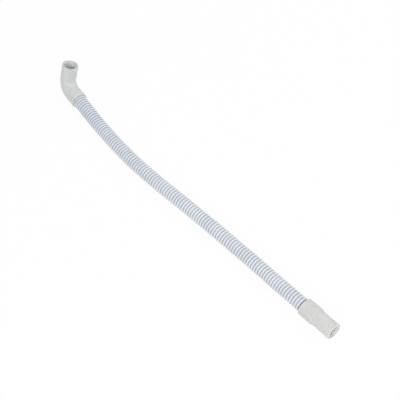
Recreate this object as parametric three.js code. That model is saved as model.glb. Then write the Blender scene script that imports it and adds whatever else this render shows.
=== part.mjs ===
// Drain hose of a condenser dryer: a corrugated hose with a moulded elbow cuff on one end and a
// straight stepped cuff on the other, lying on a level surface. Millimetres, +Z up.
// The hose runs along X, with the straight cuff at +X and the elbow's open leg standing up at -X.
import * as THREE from 'three';
import { mergeVertices } from 'three/addons/utils/BufferGeometryUtils.js';

// Hose: thin plastic blown into closed rings, not a helix
const crestDiameter = 25;
const foldDepth = 2.7;
const foldPitch = 5.47;
const hoseWall = 0.7;
const hoseSides = 12;

// Folds hidden in each cuff: a groove comes out of the elbow and a crest out of the straight cuff
const foldsInElbow = 3;
const foldsInStraightCuff = 3.5;

// Straight cuff: a collar round the hose, a neck that stops a spigot, and a narrower open tip
const collarWall = 2.6;
const collarEdge = 1.8;
const neckLength = 8.9;
const spigotStop = 1.4;
const tipDiameter = 27.8;
const tipWall = 3.4;
const tipLength = 36.9;
const tipRibs = 3;

// Elbow cuff: a collar round the hose, a short throat, a bend and an open leg
const elbowCollarWall = 1.95;
const elbowCollarEdge = 1.2;
const shoulderLength = 3.8;
const collarStep = 0.6;
const throatLength = 2.8;
const insideBendRadius = 6;
const bendAngle = THREE.MathUtils.degToRad(86);
const bendSteps = 9;
const legDiameter = 28.5;
const legWall = 2.4;
const legLength = 27.5;
const legRibs = 2;
const elbowRoll = THREE.MathUtils.degToRad(16);

// Level distance between the two collars, which sets the hose's length
const collarSpacing = 576.2;

// Both cuffs
const seatClearance = 0.3;
const cuffSides = 24;
const rimEdge = 0.8;
const boreEdge = 0.5;
const ribHeight = 0.35;
const ribWidth = 1.1;
const ribSpacing = 2.6;
const firstRibToRim = 4;
const edgeSteps = 2;

// The rounded edges of a collar and of a mouth take no more than these shares of their walls
const collarEdgeShare = 0.7;
const rimEdgeShare = 1 / 3;

// Points of the hose's centre line from the elbow's collar to the straight cuff's, as x, y and
// rise. Rise 0 is a hose lying on the surface, and 1 is the height of the nearer cuff's axis.
const hoseRoute = [
  [-576.2, 17, 1],
  [-556.2, 13.9, 0.85],
  [-532, 10.1, 0.45],
  [-506, 6.5, 0.12],
  [-474, 2.4, 0],
  [-440, -1, 0],
  [-400, -3.2, 0],
  [-360, -3.5, 0],
  [-320, -2.6, 0],
  [-280, -1.2, 0],
  [-240, 0.1, 0],
  [-200, 1, 0],
  [-160, 1.4, 0],
  [-120, 1.6, 0],
  [-90, 1.3, 0.08],
  [-65, 0.8, 0.35],
  [-40, 0.2, 0.75],
  [-20, 0, 0.96],
  [0, 0, 1],
];
const curveSteps = 1200;

const up = new THREE.Vector3(0, 0, 1);
const crestRadius = crestDiameter / 2;
const tipRadius = tipDiameter / 2;
const legRadius = legDiameter / 2;

// The flats of a cuff's faceted socket clear the hose's crests, and its collar keeps its wall
const socketRadius = (crestRadius + seatClearance) / Math.cos(Math.PI / cuffSides);
const collarRadius = socketRadius + collarWall;
const elbowCollarRadius = Math.max(socketRadius + elbowCollarWall, legRadius + collarStep);

// The route as drawn is stretched to the distance that its ends have to span
const stretch = collarSpacing / Math.abs(hoseRoute[0][0]);
const route = hoseRoute.map(([x, y, rise], index) => {
  const cuffRadius = index < hoseRoute.length / 2 ? elbowCollarRadius : collarRadius;
  const height = crestRadius + rise * (cuffRadius - crestRadius);
  return new THREE.Vector3(x * stretch, y * stretch, height);
});

// Level direction in which the hose leaves its end, seen from the point before that end
function outwardAt(end, before) {
  return end.clone().sub(before).setZ(0).normalize();
}

const elbowSeat = route[0];
const elbowOutward = outwardAt(elbowSeat, route[1]);
const cuffSeat = route[route.length - 1];
const cuffOutward = outwardAt(cuffSeat, route[route.length - 2]);

// The folds fill the route between the cuffs, and the pitch gives way to make them whole
const seenLength = new THREE.CatmullRomCurve3(route).getLength();
const hiddenFolds = foldsInElbow + foldsInStraightCuff;
const folds = Math.round(seenLength / foldPitch + hiddenFolds);
const pitch = seenLength / (folds - hiddenFolds);
const elbowInsertion = foldsInElbow * pitch;
const cuffInsertion = foldsInStraightCuff * pitch;
const elbowSocketDepth = elbowInsertion + seatClearance;
const socketDepth = cuffInsertion + seatClearance;
const elbowCollarLength = elbowSocketDepth + shoulderLength;
const collarLength = socketDepth + neckLength;
const bendStart = elbowCollarLength + throatLength;
const bendRadius = legRadius + insideBendRadius;
const bendLength = bendRadius * bendAngle;

const hoseCurve = new THREE.CatmullRomCurve3([
  elbowSeat.clone().addScaledVector(elbowOutward, elbowInsertion),
  elbowSeat.clone().addScaledVector(elbowOutward, elbowInsertion / 2),
  ...route,
  cuffSeat.clone().addScaledVector(cuffOutward, cuffInsertion / 2),
  cuffSeat.clone().addScaledVector(cuffOutward, cuffInsertion),
]);
hoseCurve.arcLengthDivisions = curveSteps;
const hoseLength = hoseCurve.getLength();

// Solid of revolution about +Y, from a closed profile of radius against distance along the axis
function turned(profile, sides) {
  const geometry = new THREE.LatheGeometry(profile, sides);
  geometry.deleteAttribute('normal');
  geometry.deleteAttribute('uv');
  return mergeVertices(geometry);
}

// Lays a turned solid along a centre line: frameAt gives the line's place and direction
function bent(geometry, frameAt) {
  const position = geometry.attributes.position;
  const vertex = new THREE.Vector3();
  for (let i = 0; i < position.count; i++) {
    vertex.fromBufferAttribute(position, i);
    const { centre, tangent, side } = frameAt(vertex.y);
    const above = side.clone().cross(tangent);
    centre.addScaledVector(side, vertex.x).addScaledVector(above, vertex.z);
    position.setXYZ(i, centre.x, centre.y, centre.z);
  }
  return geometry;
}

function hoseFrame(along) {
  const share = THREE.MathUtils.clamp(along / hoseLength, 0, 1);
  const centre = hoseCurve.getPointAt(share);
  const tangent = hoseCurve.getTangentAt(share);
  centre.z = Math.max(centre.z, crestRadius);
  return { centre, tangent, side: tangent.clone().cross(up).normalize() };
}

// The elbow's centre line: along X through the collar and throat, round the bend, then up the leg
function elbowFrame(along) {
  const angle = THREE.MathUtils.clamp((along - bendStart) / bendRadius, 0, bendAngle);
  const tangent = new THREE.Vector3(Math.cos(angle), 0, Math.sin(angle));
  const centre = new THREE.Vector3(
    Math.min(along, bendStart) + bendRadius * Math.sin(angle),
    0,
    bendRadius * (1 - Math.cos(angle)),
  );
  centre.addScaledVector(tangent, Math.max(0, along - bendStart - bendLength));
  return { centre, tangent, side: new THREE.Vector3(0, -1, 0) };
}

// Crests and grooves outside, and the same folds inside at one wall's thickness
function hoseProfile() {
  const halfFold = hoseLength / folds / 2;
  const outside = [];
  for (let i = 0; i <= 2 * folds; i++) {
    const radius = i % 2 ? crestRadius : crestRadius - foldDepth;
    outside.push(new THREE.Vector2(radius, i * halfFold));
  }
  const inside = outside.map((point) => new THREE.Vector2(point.x - hoseWall, point.y)).reverse();
  return [...outside, ...inside, outside[0]];
}

// The collar's end towards the hose, with a rounded outer edge that its wall limits
function startCollar(profile, radius, edge) {
  profile.moveTo(socketRadius, 0);
  profile.lineTo(radius - edge, 0);
  profile.absarc(radius - edge, edge, edge, -Math.PI / 2, 0, false);
}

// Fine rings round the outside of a mouth
function addRibs(profile, radius, rim, count) {
  for (let i = count - 1; i >= 0; i--) {
    const middle = rim - firstRibToRim - i * ribSpacing;
    profile.lineTo(radius, middle - ribWidth / 2);
    profile.lineTo(radius + ribHeight, middle - ribWidth / 4);
    profile.lineTo(radius + ribHeight, middle + ribWidth / 4);
    profile.lineTo(radius, middle + ribWidth / 2);
  }
}

// The end face of a mouth, with a rounded edge outside and a smaller one inside
function addRim(profile, radius, wall, rim) {
  const outer = Math.min(rimEdge, wall * rimEdgeShare);
  const inner = Math.min(boreEdge, wall * rimEdgeShare);
  const bore = radius - wall;
  profile.lineTo(radius, rim - outer);
  profile.absarc(radius - outer, rim - outer, outer, 0, Math.PI / 2, false);
  profile.lineTo(bore + inner, rim);
  profile.absarc(bore + inner, rim - inner, inner, Math.PI / 2, Math.PI, false);
}

// The socket that holds the hose, from its shoulder back to the collar's end
function endSocket(profile, passageRadius, depth) {
  profile.lineTo(passageRadius, depth);
  profile.lineTo(socketRadius, depth);
  profile.lineTo(socketRadius, 0);
}

function straightCuffProfile() {
  const boreRadius = tipRadius - tipWall;
  const neckRadius = boreRadius - spigotStop;
  const rim = collarLength + tipLength;
  const edge = Math.min(collarEdge, collarWall * collarEdgeShare);
  const profile = new THREE.Path();
  startCollar(profile, collarRadius, edge);
  profile.lineTo(collarRadius, collarLength - edge);
  profile.absarc(collarRadius - edge, collarLength - edge, edge, 0, Math.PI / 2, false);
  profile.lineTo(tipRadius, collarLength);
  addRibs(profile, tipRadius, rim, tipRibs);
  addRim(profile, tipRadius, tipWall, rim);
  profile.lineTo(boreRadius, collarLength);
  profile.lineTo(neckRadius, collarLength - spigotStop);
  endSocket(profile, neckRadius, socketDepth);
  return profile.getPoints(edgeSteps);
}

function elbowProfile() {
  const boreRadius = legRadius - legWall;
  const rim = bendStart + bendLength + legLength;
  const edge = Math.min(elbowCollarEdge, elbowCollarWall * collarEdgeShare);
  const bendAt = (step) => bendStart + bendLength * step / bendSteps;
  const profile = new THREE.Path();
  startCollar(profile, elbowCollarRadius, edge);
  profile.lineTo(elbowCollarRadius, elbowCollarLength - edge);
  profile.lineTo(legRadius, elbowCollarLength);
  for (let step = 0; step <= bendSteps; step++) {
    profile.lineTo(legRadius, bendAt(step));
  }
  addRibs(profile, legRadius, rim, legRibs);
  addRim(profile, legRadius, legWall, rim);
  for (let step = bendSteps; step >= 0; step--) {
    profile.lineTo(boreRadius, bendAt(step));
  }
  endSocket(profile, boreRadius, elbowSocketDepth);
  return profile.getPoints(edgeSteps);
}

function piece(name, geometry, color, roughness) {
  geometry.computeVertexNormals();
  const material = new THREE.MeshStandardMaterial({ color, roughness, metalness: 0 });
  const mesh = new THREE.Mesh(geometry, material);
  mesh.name = name;
  return mesh;
}

function corrugatedHose() {
  return piece('corrugated_hose', bent(turned(hoseProfile(), hoseSides), hoseFrame), 0xdfe4e9, 0.45);
}

// A group at a collar's end whose X axis leaves the hose
function seatGroup(seat, outward) {
  const group = new THREE.Group();
  group.position.copy(seat);
  group.rotation.z = Math.atan2(outward.y, outward.x);
  return group;
}

function straightCuff() {
  const cuff = piece('straight_cuff', turned(straightCuffProfile(), cuffSides), 0xd8d8d6, 0.55);
  cuff.rotation.z = -Math.PI / 2;
  return seatGroup(cuffSeat, cuffOutward).add(cuff);
}

function elbowCuff() {
  const cuff = piece('elbow_cuff', bent(turned(elbowProfile(), cuffSides), elbowFrame), 0xd5d7d6, 0.55);
  cuff.rotation.x = elbowRoll;
  return seatGroup(elbowSeat, elbowOutward).add(cuff);
}

const drainHose = new THREE.Group();
drainHose.add(corrugatedHose(), straightCuff(), elbowCuff());

// The origin is the middle of the footprint, on the surface
const extent = new THREE.Box3().setFromObject(drainHose, true);
const middle = extent.getCenter(new THREE.Vector3());
drainHose.position.set(-middle.x, -middle.y, -extent.min.z);

export default drainHose;
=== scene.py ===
import math
from bisect import bisect_right

import bmesh
import bpy
from mathutils import Matrix, Vector
from mathutils.geometry import interpolate_bezier


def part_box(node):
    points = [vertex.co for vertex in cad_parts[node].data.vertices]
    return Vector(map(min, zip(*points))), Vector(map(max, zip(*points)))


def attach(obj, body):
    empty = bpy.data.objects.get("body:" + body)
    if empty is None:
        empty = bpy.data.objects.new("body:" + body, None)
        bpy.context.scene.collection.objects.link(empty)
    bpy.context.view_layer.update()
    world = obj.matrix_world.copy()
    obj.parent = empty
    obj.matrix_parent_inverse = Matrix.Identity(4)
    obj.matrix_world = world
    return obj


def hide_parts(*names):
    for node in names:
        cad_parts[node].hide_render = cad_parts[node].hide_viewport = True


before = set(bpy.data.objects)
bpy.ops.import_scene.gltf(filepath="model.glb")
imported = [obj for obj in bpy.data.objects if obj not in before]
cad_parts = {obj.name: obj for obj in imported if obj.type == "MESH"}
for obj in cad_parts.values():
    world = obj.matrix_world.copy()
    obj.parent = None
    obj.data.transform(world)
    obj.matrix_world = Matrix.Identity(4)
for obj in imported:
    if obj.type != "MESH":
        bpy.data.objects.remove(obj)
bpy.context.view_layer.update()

# A dryer's drain hose: ringed hose, elbow cuff at -X and straight cuff at +X, lying on the floor.
# Metres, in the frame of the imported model.
scene = bpy.context.scene
scene.view_settings.view_transform = "Standard"
millimetre = 0.001


# Camera, aimed from the straight cuff's end towards the hose

straightLow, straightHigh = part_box("straight_cuff")
straightCollarRadius = (straightHigh.z - straightLow.z) / 2
straightSeat = Vector((straightLow.x, (straightLow.y + straightHigh.y) / 2, straightCollarRadius))

cameraSetup = {
    "azimuth": 47,                      # degrees round from the -Y side towards +X
    "elevation": 53,                    # degrees above the floor
    "distance": 2.170,
    "lens": 115.2,                      # mm
    "sensor": 36,                       # mm
    "aim": (-274.7 * millimetre, 30.8 * millimetre),    # middle of the picture, from the cuff
}


def addCamera(setup):
    azimuth = math.radians(setup["azimuth"])
    elevation = math.radians(setup["elevation"])
    level = math.cos(elevation)
    back = Vector((math.sin(azimuth) * level, -math.cos(azimuth) * level, math.sin(elevation)))
    data = bpy.data.cameras.new("pictureCamera")
    data.lens = setup["lens"]
    data.sensor_width = setup["sensor"]
    camera = bpy.data.objects.new("pictureCamera", data)
    target = Vector((straightSeat.x + setup["aim"][0], straightSeat.y + setup["aim"][1], 0))
    camera.location = target + back * setup["distance"]
    camera.rotation_euler = back.to_track_quat("Z", "Y").to_euler()
    scene.collection.objects.link(camera)
    scene.camera = camera


addCamera(cameraSetup)
print("camera placed")


# Centre line of the hose

hoseForm = {
    "crestDiameter": 25 * millimetre,
    "foldDepth": 2.7 * millimetre,
    "foldPitch": 5.47 * millimetre,
    "wall": 0.7 * millimetre,
    "foldsInElbow": 3,                  # so that a groove comes out of the elbow
    "foldsInStraight": 3.5,             # and a crest out of the straight cuff
    "flankSlope": 75,                   # degrees between a fold's flank and the hose's axis
    "crestShare": 0.64,                 # what the crest takes of the two roundings of a fold
    "sides": 46,
    "grooveSteps": 2,
    "crestSteps": 3,
    "insideSteps": 1,
    "cuffGapShadeMark": 2,                      # painted shade in the groove beside the straight cuff
    "cordSteps": 120,
}

# Points from the elbow's collar to the straight cuff's, in millimetres from the straight cuff's
# end face and axis: x, y and rise. Rise 0 lies on the floor, 1 is the height of the nearer cuff.
hoseRoute = [
    (-576.2, 17, 1),
    (-556.2, 13.9, 0.85),
    (-532, 10.1, 0.45),
    (-506, 6.5, 0.12),
    (-474, 2.4, 0),
    (-440, -1, 0),
    (-400, -3.2, 0),
    (-360, -3.5, 0),
    (-320, -2.6, 0),
    (-280, -1.2, 0),
    (-240, 0.1, 0),
    (-200, 1, 0),
    (-160, 1.4, 0),
    (-120, 1.6, 0),
    (-90, 1.3, 0.08),
    (-65, 0.8, 0.35),
    (-40, 0.2, 0.75),
    (-20, 0, 0.96),
    (0, 0, 1),
]

elbowForm = {
    "collarRadius": 14.86 * millimetre,
    "collarEdge": 1.2 * millimetre,
    "endLip": 0.7 * millimetre,         # soft lip of the collar's end, in the hose's first groove
    "endLipRadius": 11.2 * millimetre,
    "shoulderLength": 3.8 * millimetre,
    "beadLength": 8 * millimetre,       # soft swelling at the collar's end
    "beadCrown": 0.55,                  # share of the bead that keeps its full height
    "beadHeight": 0.3 * millimetre,
    "swellLength": 6 * millimetre,      # the collar swells again before its step
    "stepLength": 1.0 * millimetre,     # how far the small step down to the throat is drawn out
    "throatLength": 2.8 * millimetre,
    "insideBendRadius": 6 * millimetre,
    "bendAngle": math.radians(86),
    "legRadius": 14.25 * millimetre,
    "legWall": 2.4 * millimetre,
    "legLength": 27.5 * millimetre,
    "rimEdge": 0.6 * millimetre,
    "boreLightStart": 1.2 * millimetre,      # where painted light in the bore starts, from the rim
    "ribs": 2,
    "longestFace": 1.6 * millimetre,
    "roll": math.radians(16),           # how far the leg leans over to +Y
}

straightForm = {
    "collarEdge": 1.8 * millimetre,
    "socketEdge": 0.4 * millimetre,
    "neckLength": 8.9 * millimetre,
    "spigotStop": 1.4 * millimetre,
    "stepLength": 3.2 * millimetre,     # how far the step from collar to tip is drawn out
    "tipRadius": 13.9 * millimetre,
    "tipWall": 3.4 * millimetre,
    "tipLength": 36.9 * millimetre,
    "rimEdge": 1.6 * millimetre,
    "boreLightStart": 0.8 * millimetre,
    "ribs": 3,
    "longestFace": 4 * millimetre,
}

cuffForm = {
    "socketRadius": 12.9 * millimetre,
    "seatClearance": 0.3 * millimetre,
    "shoulderEdge": 0.3 * millimetre,
    "boreEdge": 0.5 * millimetre,
    "rimMark": 0.8,
    "lipLength": 3 * millimetre,        # a thicker lip at each mouth
    "lipHeight": 0.3 * millimetre,
    "boreLightDepth": 26 * millimetre,       # how far painted light reaches into the bore
    "ribHeight": 0.35 * millimetre,
    "ribWidth": 1.1 * millimetre,
    "ribFoot": 1.6,                     # width at the foot, for one at half height
    "ribMark": 0.3,
    "ribSteps": 8,
    "ribSpacing": 2.6 * millimetre,
    "firstRibToRim": 4 * millimetre,
    "sides": 96,
    "cornerSupport": 0.25 * millimetre,
    "seamWidth": 0.7 * millimetre,      # parting line of the mould, along both sides
    "seamHeight": 0.1 * millimetre,
}

crestRadius = hoseForm["crestDiameter"] / 2


def routePoint(index):
    x, y, rise = hoseRoute[index]
    cuffRadius = elbowForm["collarRadius"] if index < len(hoseRoute) / 2 else straightCollarRadius
    height = crestRadius + rise * (cuffRadius - crestRadius)
    return Vector((straightSeat.x + x * millimetre, straightSeat.y + y * millimetre, height))


def smoothLine(points, steps=60):
    # Centripetal spline through all the points, each stretch of it a cubic curve
    before = points[0] * 2 - points[1]
    after = points[-1] * 2 - points[-2]
    knots = [before, *points, after]
    line = [points[0]]
    for p0, p1, p2, p3 in zip(knots, knots[1:], knots[2:], knots[3:]):
        t0, t1, t2 = [math.sqrt((b - a).length) for a, b in ((p0, p1), (p1, p2), (p2, p3))]
        leave = ((p1 - p0) / t0 - (p2 - p0) / (t0 + t1) + (p2 - p1) / t1) * t1
        arrive = ((p2 - p1) / t1 - (p3 - p1) / (t1 + t2) + (p3 - p2) / t2) * t1
        line += interpolate_bezier(p1, p1 + leave / 3, p2 - arrive / 3, p2, steps + 1)[1:]
    return line


def lineLengths(line):
    lengths = [0.0]
    for a, b in zip(line, line[1:]):
        lengths.append(lengths[-1] + (b - a).length)
    return lengths


def levelDirection(end, before):
    direction = end - before
    direction.z = 0
    return direction.normalized()


route = [routePoint(index) for index in range(len(hoseRoute))]
elbowSeat = route[0]
elbowOutward = levelDirection(route[0], route[1])
straightOutward = levelDirection(route[-1], route[-2])
seenLength = lineLengths(smoothLine(route))[-1]
hiddenFolds = hoseForm["foldsInElbow"] + hoseForm["foldsInStraight"]
folds = round(seenLength / hoseForm["foldPitch"] + hiddenFolds)
seenPitch = seenLength / (folds - hiddenFolds)
elbowInsertion = hoseForm["foldsInElbow"] * seenPitch
straightInsertion = hoseForm["foldsInStraight"] * seenPitch
elbowSocketDepth = elbowInsertion + cuffForm["seatClearance"]
straightSocketDepth = straightInsertion + cuffForm["seatClearance"]

hoseLine = smoothLine([
    elbowSeat + elbowOutward * elbowInsertion,
    elbowSeat + elbowOutward * elbowInsertion / 2,
    *route,
    straightSeat + straightOutward * straightInsertion / 2,
    straightSeat + straightOutward * straightInsertion,
])
hoseLengths = lineLengths(hoseLine)
hoseLength = hoseLengths[-1]


def hoseFrame(along):
    index = min(max(bisect_right(hoseLengths, along) - 1, 0), len(hoseLine) - 2)
    start, end = hoseLine[index], hoseLine[index + 1]
    share = (along - hoseLengths[index]) / (hoseLengths[index + 1] - hoseLengths[index])
    before = hoseLine[max(index - 1, 0)]
    after = hoseLine[min(index + 2, len(hoseLine) - 1)]
    tangent = (end - before).lerp(after - start, share).normalized()
    centre = start.lerp(end, share)
    centre.z = max(centre.z, crestRadius)
    return centre, tangent, tangent.cross(Vector((0, 0, 1))).normalized()


print(f"centre line: {hoseLength:.4f} m with {folds - hiddenFolds} rings in view")


# Outlines, as (distance along, radius, mark). The mark is for the material. On the hose it says how
# deep in a groove a point lies, and above 1 how much painted shade the groove beside the straight
# cuff gets. On a cuff it says how much an edge is handled, and below 0 how much painted light a
# bore gets.


def arc(along, radius, size, start, end, steps, mark=0.0):
    # Rounded corner: angles in degrees, 0 pointing outwards and 90 along the axis
    points = []
    for step in range(steps + 1):
        angle = math.radians(start + (end - start) * step / steps)
        points.append((along + size * math.sin(angle), radius + size * math.cos(angle), mark))
    return points


def easedStep(start, end, fromRadius, toRadius, steps=8):
    # Soft change of radius, level at both ends
    points = []
    for step in range(steps + 1):
        share = step / steps
        eased = share * share * (3 - 2 * share)
        points.append((start + (end - start) * share,
                       fromRadius + (toRadius - fromRadius) * eased, 0.0))
    return points


def spaced(outline, longest):
    # Adds points on the long stretches, and close to each corner, so that shading stays crisp
    support = cuffForm["cornerSupport"]
    points = []
    for a, b in zip(outline, outline[1:] + outline[:1]):
        gap = math.hypot(b[0] - a[0], b[1] - a[1])
        shares = [0.0]
        if gap > 4 * support:
            pieces = max(1, math.ceil((gap - 2 * support) / longest))
            inner = 1 - 2 * support / gap
            shares += [support / gap + inner * step / pieces for step in range(pieces + 1)]
        points += [tuple(p + (q - p) * share for p, q in zip(a, b)) for share in shares]
    return points


def foldOutline(start, pitch, grooveSteps, crestSteps, wall=0.0):
    # One ring: half a groove, a straight flank, a wider round crest and back
    slope = math.radians(hoseForm["flankSlope"])
    depth = hoseForm["foldDepth"]
    flank = depth * math.sin(slope) / (1 - math.cos(slope)) - pitch / 2
    roundings = (pitch / 2 - flank * math.cos(slope)) / math.sin(slope)
    crestRound = roundings * hoseForm["crestShare"]
    grooveRound = roundings - crestRound
    rising = []
    for step in range(grooveSteps + 1):
        angle = slope * step / grooveSteps
        rising.append((grooveRound * math.sin(angle), grooveRound * (1 - math.cos(angle))))
    for step in range(crestSteps, -1, -1):
        angle = slope * step / crestSteps
        rising.append((pitch / 2 - crestRound * math.sin(angle),
                       depth - crestRound * (1 - math.cos(angle))))
    falling = [(pitch - along, rise) for along, rise in reversed(rising[1:-1])]
    bottom = crestRadius - depth - wall
    return [(start + along, bottom + rise, 1 - rise / depth) for along, rise in rising + falling]


def hoseOutline():
    pitch = hoseLength / folds
    outside = []
    inside = []
    insideSteps = hoseForm["insideSteps"]
    lastSeen = folds - math.ceil(hoseForm["foldsInStraight"])
    for fold in range(folds):
        ring = foldOutline(fold * pitch, pitch, hoseForm["grooveSteps"], hoseForm["crestSteps"])
        # The last ring before the straight cuff gets painted shade in its groove
        if fold == lastSeen:
            ring = [(along, radius, mark * hoseForm["cuffGapShadeMark"]) for along, radius, mark in ring]
        outside += ring
        inside += foldOutline(fold * pitch, pitch, insideSteps, insideSteps, hoseForm["wall"])
    grooveRadius = crestRadius - hoseForm["foldDepth"]
    outside.append((hoseLength, grooveRadius, 1))
    inside.append((hoseLength, grooveRadius - hoseForm["wall"], 1))
    return outside + inside[::-1]


def ribs(radius, rim, count):
    foot = cuffForm["ribWidth"] * cuffForm["ribFoot"]
    steps = cuffForm["ribSteps"]
    points = []
    for rib in range(count - 1, -1, -1):
        middle = rim - cuffForm["firstRibToRim"] - rib * cuffForm["ribSpacing"]
        for step in range(steps + 1):
            share = step / steps
            swell = math.sin(math.pi * share) ** 2
            points.append((middle + (share - 0.5) * foot, radius + cuffForm["ribHeight"] * swell,
                           swell * cuffForm["ribMark"]))
    return points


def rimEdges(form, radius, wall, rim):
    # Lip, end face and the first stretch of the bore
    outer = form["rimEdge"]
    inner = cuffForm["boreEdge"]
    mark = cuffForm["rimMark"]
    bore = radius - wall
    lipRadius = radius + cuffForm["lipHeight"]
    lipStart = rim - cuffForm["lipLength"]
    points = easedStep(lipStart, lipStart + cuffForm["lipLength"] / 3, radius, lipRadius)
    points += arc(rim - outer, lipRadius - outer, outer, 0, 90, steps=7, mark=mark)
    points += arc(rim - inner, bore + inner, inner, 90, 180, steps=5, mark=mark)
    # Painted light on the bore near the mouth, fading out deeper in
    points.append((rim - form["boreLightStart"], bore, -1.0))
    points.append((rim - cuffForm["boreLightDepth"], bore, 0.0))
    return points


def socket(passageRadius, depth):
    # Back from the bore to the collar's end
    edge = cuffForm["shoulderEdge"]
    points = arc(depth + edge, passageRadius + edge, edge, 180, 270, steps=3)
    points.append((depth, cuffForm["socketRadius"], 0.0))
    return points


def elbowOutline():
    form = elbowForm
    edge = form["collarEdge"]
    collarRadius = form["collarRadius"]
    collarEnd = elbowSocketDepth + form["shoulderLength"]
    legRadius = form["legRadius"]
    rim = elbowBendStart + elbowBendLength + form["legLength"]
    dipRadius = collarRadius - form["beadHeight"]
    beadEnd = form["beadLength"]
    stepStart = collarEnd - form["stepLength"]
    lip = form["endLip"]
    points = [
        (lip, cuffForm["socketRadius"], 0.0),
        (lip, form["endLipRadius"], 0.0),
        (-lip, form["endLipRadius"], 0.0),
    ]
    points += arc(edge, collarRadius - edge, edge, -90, 0, steps=8)
    points += easedStep(beadEnd * form["beadCrown"], beadEnd, collarRadius, dipRadius)
    points += easedStep(collarEnd - form["swellLength"], stepStart - form["stepLength"],
                        dipRadius, collarRadius)
    points += easedStep(stepStart, collarEnd, collarRadius, legRadius)
    points += ribs(legRadius, rim, form["ribs"])
    points += rimEdges(form, legRadius, form["legWall"], rim)
    points += socket(legRadius - form["legWall"], elbowSocketDepth)
    return spaced(points, form["longestFace"])


def straightOutline():
    form = straightForm
    collarEnd = straightSocketDepth + form["neckLength"]
    rim = collarEnd + form["tipLength"]
    boreRadius = form["tipRadius"] - form["tipWall"]
    neckRadius = boreRadius - form["spigotStop"]
    half = form["stepLength"] / 2
    # The end towards the hose: rounded inside a little, outside more
    small = form["socketEdge"]
    edge = form["collarEdge"]
    points = arc(small, cuffForm["socketRadius"] + small, small, 180, 270, steps=3)
    points += arc(edge, straightCollarRadius - edge, edge, -90, 0, steps=8)
    points += easedStep(collarEnd - half, collarEnd + half, straightCollarRadius, form["tipRadius"])
    points += ribs(form["tipRadius"], rim, form["ribs"])
    points += rimEdges(form, form["tipRadius"], form["tipWall"], rim)
    points.append((collarEnd, boreRadius, 0.0))
    points.append((collarEnd - form["spigotStop"], neckRadius, 0.0))
    points += socket(neckRadius, straightSocketDepth)
    return spaced(points, form["longestFace"])


# Pieces


def roundAngles(sides, radius=0.0, seamWidth=0.0):
    # Even steps round a section, with three close ones across each mould seam at 0 and 180 degrees
    angles = [2 * math.pi * side / sides for side in range(sides)]
    if seamWidth:
        reach = seamWidth / 2 / radius
        angles += [-reach, reach, math.pi - reach, math.pi + reach]
    return sorted(angles)


def sweep(name, outline, angles, frameAt, seamHeight=0.0):
    # Carries a closed outline round its centre line: frameAt gives place, direction and side
    vertices = []
    skin = []
    marks = []
    for along, radius, mark in outline:
        centre, tangent, side = frameAt(along)
        above = side.cross(tangent)
        for angle in angles:
            onSeam = abs(math.sin(angle)) < 1e-6 and mark < 0.1     # not over rims and ribs
            reach = radius + (seamHeight if onSeam else 0.0)
            across = math.cos(angle) * reach
            over = math.sin(angle) * reach
            vertices.append(centre + side * across + above * over)
            skin += [across, over, along]
            marks.append(mark)
    rows = len(outline)
    columns = len(angles)
    faces = []
    for row in range(rows):
        here = row * columns
        there = (row + 1) % rows * columns
        for column in range(columns):
            beside = (column + 1) % columns
            faces.append((here + column, here + beside, there + beside, there + column))
    mesh = bpy.data.meshes.new(name)
    mesh.from_pydata(vertices, [], faces)
    mesh.attributes.new("skin", "FLOAT_VECTOR", "POINT").data.foreach_set("vector", skin)
    mesh.attributes.new("mark", "FLOAT", "POINT").data.foreach_set("value", marks)
    shape = bmesh.new()
    shape.from_mesh(mesh)
    bmesh.ops.recalc_face_normals(shape, faces=shape.faces)
    shape.to_mesh(mesh)
    shape.free()
    mesh.shade_smooth()
    piece = bpy.data.objects.new(name, mesh)
    scene.collection.objects.link(piece)
    return piece


elbowPlace = (
    Matrix.Translation(elbowSeat)
    @ Matrix.Rotation(math.atan2(elbowOutward.y, elbowOutward.x), 4, "Z")
    @ Matrix.Rotation(elbowForm["roll"], 4, "X")
)
elbowBendStart = elbowSocketDepth + elbowForm["shoulderLength"] + elbowForm["throatLength"]
elbowBendRadius = elbowForm["legRadius"] + elbowForm["insideBendRadius"]
elbowBendLength = elbowBendRadius * elbowForm["bendAngle"]


def elbowFrame(along):
    # Straight through the collar and throat, round the bend, then up the leg
    angle = min(max((along - elbowBendStart) / elbowBendRadius, 0), elbowForm["bendAngle"])
    tangent = Vector((math.cos(angle), 0, math.sin(angle)))
    centre = Vector((min(along, elbowBendStart) + elbowBendRadius * math.sin(angle), 0,
                     elbowBendRadius * (1 - math.cos(angle))))
    centre += tangent * max(0, along - elbowBendStart - elbowBendLength)
    turn = elbowPlace.to_3x3()
    return elbowPlace @ centre, turn @ tangent, turn @ Vector((0, -1, 0))


def straightFrame(along):
    side = straightOutward.cross(Vector((0, 0, 1)))
    return straightSeat + straightOutward * along, straightOutward, side


hose = sweep("ringed_hose", hoseOutline(), roundAngles(hoseForm["sides"]), hoseFrame)
elbow = sweep(
    "elbow_end_cuff", elbowOutline(),
    roundAngles(cuffForm["sides"], elbowForm["legRadius"], cuffForm["seamWidth"]),
    elbowFrame, cuffForm["seamHeight"],
)
straight = sweep(
    "straight_end_cuff", straightOutline(),
    roundAngles(cuffForm["sides"], straightForm["tipRadius"], cuffForm["seamWidth"]),
    straightFrame, cuffForm["seamHeight"],
)

for piece, node, slotName in (
    (hose, "corrugated_hose", "hose"),
    (elbow, "elbow_cuff", "cuff"),
    (straight, "straight_cuff", "cuff"),
):
    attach(piece, "root")
    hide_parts(node)

cordSteps = hoseForm["cordSteps"]
hosePath = [tuple(hoseFrame(hoseLength * step / cordSteps)[0]) for step in range(cordSteps + 1)]
for piece in (hose, elbow, straight):
    print(f"{piece.name}: {sum(len(face.vertices) - 2 for face in piece.data.polygons)} triangles")


# Materials


def toLinear(hexColour):
    channels = [int(hexColour[place:place + 2], 16) / 255 for place in (1, 3, 5)]
    linear = [c / 12.92 if c <= 0.04045 else ((c + 0.055) / 1.055) ** 2.4 for c in channels]
    return (*linear, 1.0)


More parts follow.
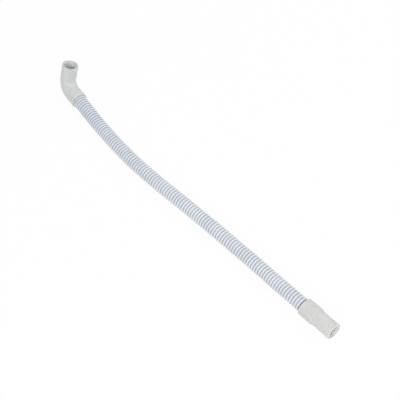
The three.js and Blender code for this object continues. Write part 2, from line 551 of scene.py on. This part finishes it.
def perMetre(sizeInMillimetres):
    # Scale of a pattern whose detail is this big
    return 1000 / sizeInMillimetres


def addNode(owner, kind, inputs=None, **settings):
    # Inputs are values or the sockets that feed them, by name or number
    tree = owner.node_tree
    node = tree.nodes.new(kind)
    for setting, value in settings.items():
        setattr(node, setting, value)
    for socketName, value in (inputs or {}).items():
        if isinstance(value, bpy.types.NodeSocket):
            tree.links.new(value, node.inputs[socketName])
        else:
            node.inputs[socketName].default_value = value
    return node


def emptyMaterial(name):
    material = bpy.data.materials.new(name)
    material.use_nodes = True
    material.node_tree.nodes.clear()
    return material


def finishMaterial(material, inputs):
    shader = addNode(material, "ShaderNodeBsdfPrincipled", inputs)
    addNode(material, "ShaderNodeOutputMaterial", {"Surface": shader.outputs["BSDF"]})
    return material


hoseLook = {
    "crest": "#ebeef4",
    "cloudy": "#e1e6ed",
    # painted shade at the bottom of each groove
    "groove": "#acb3bc",
    # painted shade for the groove beside the straight cuff
    "cuffGapShade": "#6b6c6f",
    "elbowShade": "#eff2f6",                # painted shade, darker towards the elbow's end
    "elbowShadeLength": 260 * millimetre,
    "rubbed": "#f3f5f8",
    "roughness": (0.36, 0.52),
    "ior": 1.49,
    "cloudSize": 22,                    # mm, as are the sizes below
    "dieLineSize": 1.5,
    "patchSize": 12,
    "peelSize": 1,
}


def blownPolypropylene():
    # Natural white polypropylene, blown into a ring mould: a cool milky white with satin crests,
    # soft clouds where the wall is thicker, and faint lines drawn along it by the die
    look = hoseLook
    material = emptyMaterial("blownPolypropylene")
    skin = addNode(material, "ShaderNodeAttribute", attribute_name="skin").outputs["Vector"]
    groove = addNode(material, "ShaderNodeAttribute", attribute_name="mark").outputs["Fac"]
    clouds = addNode(material, "ShaderNodeTexNoise", {
        "Vector": skin, "Scale": perMetre(look["cloudSize"]), "Detail": 3, "Roughness": 0.55,
    })
    cloudShare = addNode(material, "ShaderNodeMapRange", {
        "Value": clouds.outputs["Fac"], "From Min": 0.35, "From Max": 0.65,
    }, interpolation_type="SMOOTHSTEP")
    body = addNode(material, "ShaderNodeMix", {
        0: cloudShare.outputs["Result"], 6: toLinear(look["crest"]), 7: toLinear(look["cloudy"]),
    }, data_type="RGBA")
    # The die's lines are 0.3 mm wide in life, and 1.5 mm here so that they show
    stretched = addNode(material, "ShaderNodeMapping", {"Vector": skin, "Scale": (1, 1, 0.03)})
    dieLines = addNode(material, "ShaderNodeTexNoise", {
        "Vector": stretched.outputs["Vector"], "Scale": perMetre(look["dieLineSize"]),
        "Detail": 2,
    })
    lineShare = addNode(material, "ShaderNodeMapRange", {
        "Value": dieLines.outputs["Fac"], "From Min": 0.45, "From Max": 0.75, "To Max": 0.18,
    })
    lined = addNode(material, "ShaderNodeMix", {
        0: lineShare.outputs["Result"], 6: body.outputs[2], 7: toLinear(look["cloudy"]),
    }, data_type="RGBA")
    # Painted shade in the grooves, and darker painted shade in the one beside the straight cuff
    grooveShadeShare = addNode(material, "ShaderNodeMapRange", {
        "Value": groove, "From Min": 0.3, "From Max": 1.0, "To Max": 0.9,
    }, interpolation_type="SMOOTHSTEP")
    shaded = addNode(material, "ShaderNodeMix", {
        0: grooveShadeShare.outputs["Result"], 6: lined.outputs[2], 7: toLinear(look["groove"]),
    }, data_type="RGBA")
    cuffGapShadeShare = addNode(material, "ShaderNodeMapRange", {
        "Value": groove, "From Min": 1.0, "From Max": 1.8,
    })
    cuffGapShaded = addNode(material, "ShaderNodeMix", {
        0: cuffGapShadeShare.outputs["Result"], 6: shaded.outputs[2], 7: toLinear(look["cuffGapShade"]),
    }, data_type="RGBA")
    # Crests rubbed by handling, in patches
    patches = addNode(material, "ShaderNodeTexNoise", {
        "Vector": skin, "Scale": perMetre(look["patchSize"]), "Detail": 4, "Roughness": 0.6,
    })
    onCrest = addNode(material, "ShaderNodeMapRange", {
        "Value": groove, "From Min": 0.12, "From Max": 0.0,
    })
    patchShare = addNode(material, "ShaderNodeMapRange", {
        "Value": patches.outputs["Fac"], "From Min": 0.5, "From Max": 0.7,
    })
    rubShare = addNode(material, "ShaderNodeMath", {
        0: onCrest.outputs["Result"], 1: patchShare.outputs["Result"],
    }, operation="MULTIPLY")
    rubbed = addNode(material, "ShaderNodeMix", {
        0: rubShare.outputs["Value"], 6: cuffGapShaded.outputs[2], 7: toLinear(look["rubbed"]),
    }, data_type="RGBA")
    # Painted shade: the hose grows darker towards the elbow
    place = addNode(material, "ShaderNodeSeparateXYZ", {"Vector": skin})
    elbowShadeShare = addNode(material, "ShaderNodeMapRange", {
        "Value": place.outputs["Z"], "From Min": look["elbowShadeLength"], "From Max": 0.0,
    })
    elbowShade = addNode(material, "ShaderNodeMix", {
        0: elbowShadeShare.outputs["Result"], 6: rubbed.outputs[2], 7: toLinear(look["elbowShade"]),
    }, data_type="RGBA", blend_type="MULTIPLY")
    roughness = addNode(material, "ShaderNodeMapRange", {
        "Value": patches.outputs["Fac"], "From Min": 0.3, "From Max": 0.7,
        "To Min": look["roughness"][0], "To Max": look["roughness"][1],
    })
    lineBump = addNode(material, "ShaderNodeBump", {
        "Height": dieLines.outputs["Fac"], "Strength": 0.25, "Distance": 0.1 * millimetre,
    })
    # Orange peel of the blown skin, 0.5 mm in life and 1 mm here
    peel = addNode(material, "ShaderNodeTexNoise", {
        "Vector": skin, "Scale": perMetre(look["peelSize"]), "Detail": 2,
    })
    peelBump = addNode(material, "ShaderNodeBump", {
        "Height": peel.outputs["Fac"], "Strength": 0.2, "Distance": 0.08 * millimetre,
        "Normal": lineBump.outputs["Normal"],
    })
    return finishMaterial(material, {
        "Base Color": elbowShade.outputs[2], "Roughness": roughness.outputs["Result"],
        "IOR": look["ior"], "Normal": peelBump.outputs["Normal"],
    })


elbowLook = {
    "body": "#dcdddd",
    "flow": "#d6d7d7",
    "speck": "#bbbcbc",
    "handled": "#c6c7c7",
    # painted light inside the mouth's bore
    "bore": "#f4f4f4",
}

straightLook = {
    "body": "#dbdad8",
    "flow": "#d5d5d2",
    "speck": "#bbbab8",
    "handled": "#e2e1df",
    # painted light inside the mouth's bore
    "bore": "#f4f4f2",
}

cuffSkin = {
    "roughness": (0.46, 0.6),
    "ior": 1.53,
    "lightShare": 0.6,
    "lightDepth": 3 * millimetre,       # how far light gets into the wall
    "flowSize": 9,                      # mm, as are the sizes below
    "speckSpacing": 5,
    "wearSize": 4,
    "grainSize": 0.6,
}


def mouldedSoftPvc(name, look):
    # Grey soft PVC, injection moulded: an even satin skin with a fine spark-eroded grain, broad
    # faint flow marks, a few specks of regrind, rims toned by handling, painted light on the bore
    # inside each mouth, and a little depth, so that shadows in them stay soft
    material = emptyMaterial(name)
    skin = addNode(material, "ShaderNodeAttribute", attribute_name="skin").outputs["Vector"]
    edge = addNode(material, "ShaderNodeAttribute", attribute_name="mark").outputs["Fac"]
    drawn = addNode(material, "ShaderNodeMapping", {"Vector": skin, "Scale": (1, 1, 0.45)})
    flow = addNode(material, "ShaderNodeTexNoise", {
        "Vector": drawn.outputs["Vector"], "Scale": perMetre(cuffSkin["flowSize"]),
        "Detail": 3, "Distortion": 0.6,
    })
    flowShare = addNode(material, "ShaderNodeMapRange", {
        "Value": flow.outputs["Fac"], "From Min": 0.38, "From Max": 0.62,
    }, interpolation_type="SMOOTHSTEP")
    body = addNode(material, "ShaderNodeMix", {
        0: flowShare.outputs["Result"], 6: toLinear(look["body"]), 7: toLinear(look["flow"]),
    }, data_type="RGBA")
    # Specks 0.3 mm across in life, drawn 0.7 mm wide and one in about 5 mm
    cells = addNode(material, "ShaderNodeTexVoronoi", {
        "Vector": skin, "Scale": perMetre(cuffSkin["speckSpacing"]),
    })
    speckShare = addNode(material, "ShaderNodeMapRange", {
        "Value": cells.outputs["Distance"], "From Min": 0.05, "From Max": 0.09,
        "To Min": 0.6, "To Max": 0.0,
    })
    specked = addNode(material, "ShaderNodeMix", {
        0: speckShare.outputs["Result"], 6: body.outputs[2], 7: toLinear(look["speck"]),
    }, data_type="RGBA")
    wear = addNode(material, "ShaderNodeTexNoise", {
        "Vector": skin, "Scale": perMetre(cuffSkin["wearSize"]), "Detail": 4, "Roughness": 0.65,
    })
    wearShare = addNode(material, "ShaderNodeMapRange", {
        "Value": wear.outputs["Fac"], "From Min": 0.3, "From Max": 0.65,
    })
    handledShare = addNode(material, "ShaderNodeMath", {
        0: edge, 1: wearShare.outputs["Result"],
    }, operation="MULTIPLY")
    handled = addNode(material, "ShaderNodeMix", {
        0: handledShare.outputs["Value"], 6: specked.outputs[2], 7: toLinear(look["handled"]),
    }, data_type="RGBA")
    # Painted light: the bore is paler inside each mouth
    boreLightShare = addNode(material, "ShaderNodeMapRange", {
        "Value": edge, "From Min": 0.0, "From Max": -1.0,
    })
    boreLit = addNode(material, "ShaderNodeMix", {
        0: boreLightShare.outputs["Result"], 6: handled.outputs[2], 7: toLinear(look["bore"]),
    }, data_type="RGBA")
    roughness = addNode(material, "ShaderNodeMapRange", {
        "Value": wear.outputs["Fac"], "From Min": 0.3, "From Max": 0.7,
        "To Min": cuffSkin["roughness"][0], "To Max": cuffSkin["roughness"][1],
    })
    # Eroded grain of the mould, 0.15 mm in life and 0.6 mm here
    grain = addNode(material, "ShaderNodeTexNoise", {
        "Vector": skin, "Scale": perMetre(cuffSkin["grainSize"]), "Detail": 2, "Roughness": 0.6,
    })
    grainBump = addNode(material, "ShaderNodeBump", {
        "Height": grain.outputs["Fac"], "Strength": 0.15, "Distance": 0.04 * millimetre,
    })
    flowBump = addNode(material, "ShaderNodeBump", {
        "Height": flow.outputs["Fac"], "Strength": 0.2, "Distance": 0.25 * millimetre,
        "Normal": grainBump.outputs["Normal"],
    })
    return finishMaterial(material, {
        "Base Color": boreLit.outputs[2], "Roughness": roughness.outputs["Result"],
        "IOR": cuffSkin["ior"], "Normal": flowBump.outputs["Normal"],
        "Subsurface Weight": cuffSkin["lightShare"], "Subsurface Scale": cuffSkin["lightDepth"],
        "Subsurface Radius": (1.0, 1.0, 1.0),
    })


hose.data.materials.append(blownPolypropylene())
elbow.data.materials.append(mouldedSoftPvc("mouldedSoftPvcElbow", elbowLook))
straight.data.materials.append(mouldedSoftPvc("mouldedSoftPvcStraight", straightLook))
print("materials made")


# Floor and light

studio = {
    "floorSize": 12,
    "floorDrop": 0.1 * millimetre,      # keeps the floor just clear of the lowest rings
    "paper": "#fafafa",
    "shadowShare": 0.05,                # how much of the floor's shadow shows
    "surround": 0.6,                    # light from all round
    "lamps": {                          # azimuth, elevation, distance, size and power
        "lowFrontLamp": (32, 38, 2.4, 0.9, 15),
        "highBackLamp": (165, 60, 2.4, 1.8, 16),
    },
}


def seenDirectly(owner):
    # 1 for the camera's rays and for those that a shiny or a clear surface sends on
    lightPath = addNode(owner, "ShaderNodeLightPath")
    cameraOrGlossy = addNode(owner, "ShaderNodeMath", {
        0: lightPath.outputs["Is Camera Ray"], 1: lightPath.outputs["Is Glossy Ray"],
    }, operation="MAXIMUM")
    direct = addNode(owner, "ShaderNodeMath", {
        0: cameraOrGlossy.outputs[0], 1: lightPath.outputs["Is Transmission Ray"],
    }, operation="MAXIMUM")
    return direct.outputs[0]


def addFloor():
    half = studio["floorSize"] / 2
    drop = -studio["floorDrop"]
    corners = [(-half, -half, drop), (half, -half, drop), (half, half, drop), (-half, half, drop)]
    mesh = bpy.data.meshes.new("floor")
    mesh.from_pydata(corners, [], [(0, 1, 2, 3)])
    floor = bpy.data.objects.new("floor", mesh)
    scene.collection.objects.link(floor)
    material = emptyMaterial("whitePaperSweep")   # matt white paper that keeps a soft shadow
    paper = addNode(material, "ShaderNodeBsdfDiffuse", {"Color": toLinear(studio["paper"])})
    white = addNode(material, "ShaderNodeEmission", {"Color": (1, 1, 1, 1), "Strength": 1})
    seen = addNode(material, "ShaderNodeMixShader", {
        0: studio["shadowShare"], 1: white.outputs[0], 2: paper.outputs[0],
    })
    shown = addNode(material, "ShaderNodeMixShader", {
        0: seenDirectly(material), 1: paper.outputs[0], 2: seen.outputs[0],
    })
    addNode(material, "ShaderNodeOutputMaterial", {"Surface": shown.outputs[0]})
    mesh.materials.append(material)


def addSurround():
    world = bpy.data.worlds.new("whiteSurround")
    scene.world = world
    world.use_nodes = True
    world.node_tree.nodes.clear()
    fill = addNode(world, "ShaderNodeBackground", {
        "Color": (1, 1, 1, 1), "Strength": studio["surround"],
    })
    white = addNode(world, "ShaderNodeBackground", {"Color": (1, 1, 1, 1), "Strength": 1})
    shown = addNode(world, "ShaderNodeMixShader", {
        0: seenDirectly(world), 1: fill.outputs[0], 2: white.outputs[0],
    })
    addNode(world, "ShaderNodeOutputWorld", {"Surface": shown.outputs[0]})


def addLamp(name, azimuth, elevation, distance, size, power):
    level = math.cos(math.radians(elevation))
    towards = Vector((math.sin(math.radians(azimuth)) * level,
                      -math.cos(math.radians(azimuth)) * level, math.sin(math.radians(elevation))))
    data = bpy.data.lights.new(name, "AREA")
    data.energy = power
    data.shape = "DISK"
    data.size = size
    lamp = bpy.data.objects.new(name, data)
    lamp.location = towards * distance
    lamp.rotation_euler = towards.to_track_quat("Z", "Y").to_euler()
    scene.collection.objects.link(lamp)


addFloor()
addSurround()
for lampName, lampSetup in studio["lamps"].items():
    addLamp(lampName, *lampSetup)
print("floor and light placed")
